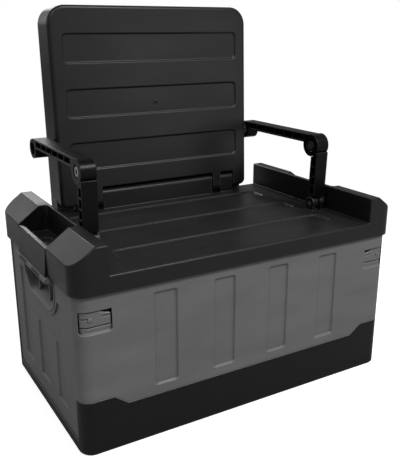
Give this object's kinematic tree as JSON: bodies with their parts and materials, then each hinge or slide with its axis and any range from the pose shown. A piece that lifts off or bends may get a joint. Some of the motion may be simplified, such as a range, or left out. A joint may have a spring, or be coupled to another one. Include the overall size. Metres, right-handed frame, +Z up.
{
  "type": "fishing seat box",
  "caption": "Folding storage crate with a lift-off seat lid that carries a fold-flat backrest and jack-knifing armrests, held shut by latch flaps above grip cups at its ends.",
  "frame": {"origin": "middle of the underside of the base, on the floor plane", "axes": "+X to the right along the long side, +Y to the rear where the backrest is, +Z up"},
  "size_m": [0.626, 0.3963, 0.6577],
  "materials": {
    "black_plastic": "moulded, satin",
    "grey_plastic": "moulded, matt",
    "steel": "drawn wire"
  },
  "bodies": {
    "crate": {"base_tray": "black_plastic", "front_wall": "grey_plastic", "rear_wall": "grey_plastic", "left_end_wall": "grey_plastic", "right_end_wall": "grey_plastic", "left_latch_pin": "steel", "right_latch_pin": "steel"},
    "lid": {"lid_shell": "black_plastic", "hinge_rod": "steel", "left_foot_pin": "steel", "right_foot_pin": "steel"},
    "backrest": {"backrest_shell": "black_plastic", "backrest_cover": "black_plastic"},
    "post_left": {"left_post": "black_plastic"},
    "arm_left": {"left_armrest": "black_plastic", "left_elbow_pin": "steel", "left_rear_pin": "black_plastic"},
    "flap_left": {"left_latch_flap": "black_plastic"},
    "post_right": {"right_post": "black_plastic"},
    "arm_right": {"right_armrest": "black_plastic", "right_elbow_pin": "steel", "right_rear_pin": "black_plastic"},
    "flap_right": {"right_latch_flap": "black_plastic"}
  },
  "joints": [
    {"name": "lid_lift", "type": "slide", "parent": "crate", "child": "lid", "axis": [0, 0, 1], "range_m": [0, 0.08]},
    {"name": "backrest_fold", "type": "hinge", "parent": "lid", "child": "backrest", "pos_m": [0, 0.164, 0.3075], "axis": [1, 0, 0], "range_deg": [0, 92.5]},
    {"name": "post_left_fold", "type": "hinge", "parent": "lid", "child": "post_left", "pos_m": [-0.2285, -0.054, 0.302], "axis": [1, 0, 0], "range_deg": [0, 89.6]},
    {"name": "arm_left_fold", "type": "hinge", "parent": "post_left", "child": "arm_left", "pos_m": [-0.2285, -0.047, 0.411], "axis": [1, 0, 0], "range_deg": [-88.95, 0]},
    {"name": "post_right_fold", "type": "hinge", "parent": "lid", "child": "post_right", "pos_m": [0.2285, -0.054, 0.302], "axis": [1, 0, 0], "range_deg": [0, 89.6]},
    {"name": "arm_right_fold", "type": "hinge", "parent": "post_right", "child": "arm_right", "pos_m": [0.2285, -0.047, 0.411], "axis": [1, 0, 0], "range_deg": [-88.95, 0]},
    {"name": "flap_left_swing", "type": "hinge", "parent": "crate", "child": "flap_left", "pos_m": [-0.308, 0, 0.2561], "axis": [0, -1, 0], "range_deg": [0, 110]},
    {"name": "flap_right_swing", "type": "hinge", "parent": "crate", "child": "flap_right", "pos_m": [0.308, 0, 0.2561], "axis": [0, 1, 0], "range_deg": [0, 110]}
  ],
  "couplings": [
    {"joint": "post_left_fold", "follows": "backrest_fold", "ratio": 0.9681},
    {"joint": "arm_left_fold", "follows": "backrest_fold", "ratio": -0.96095},
    {"joint": "flap_left_swing", "follows": "lid_lift", "rad_per_m": 23.9},
    {"joint": "post_right_fold", "follows": "backrest_fold", "ratio": 0.9681},
    {"joint": "arm_right_fold", "follows": "backrest_fold", "ratio": -0.96095},
    {"joint": "flap_right_swing", "follows": "lid_lift", "rad_per_m": 23.9}
  ]
}
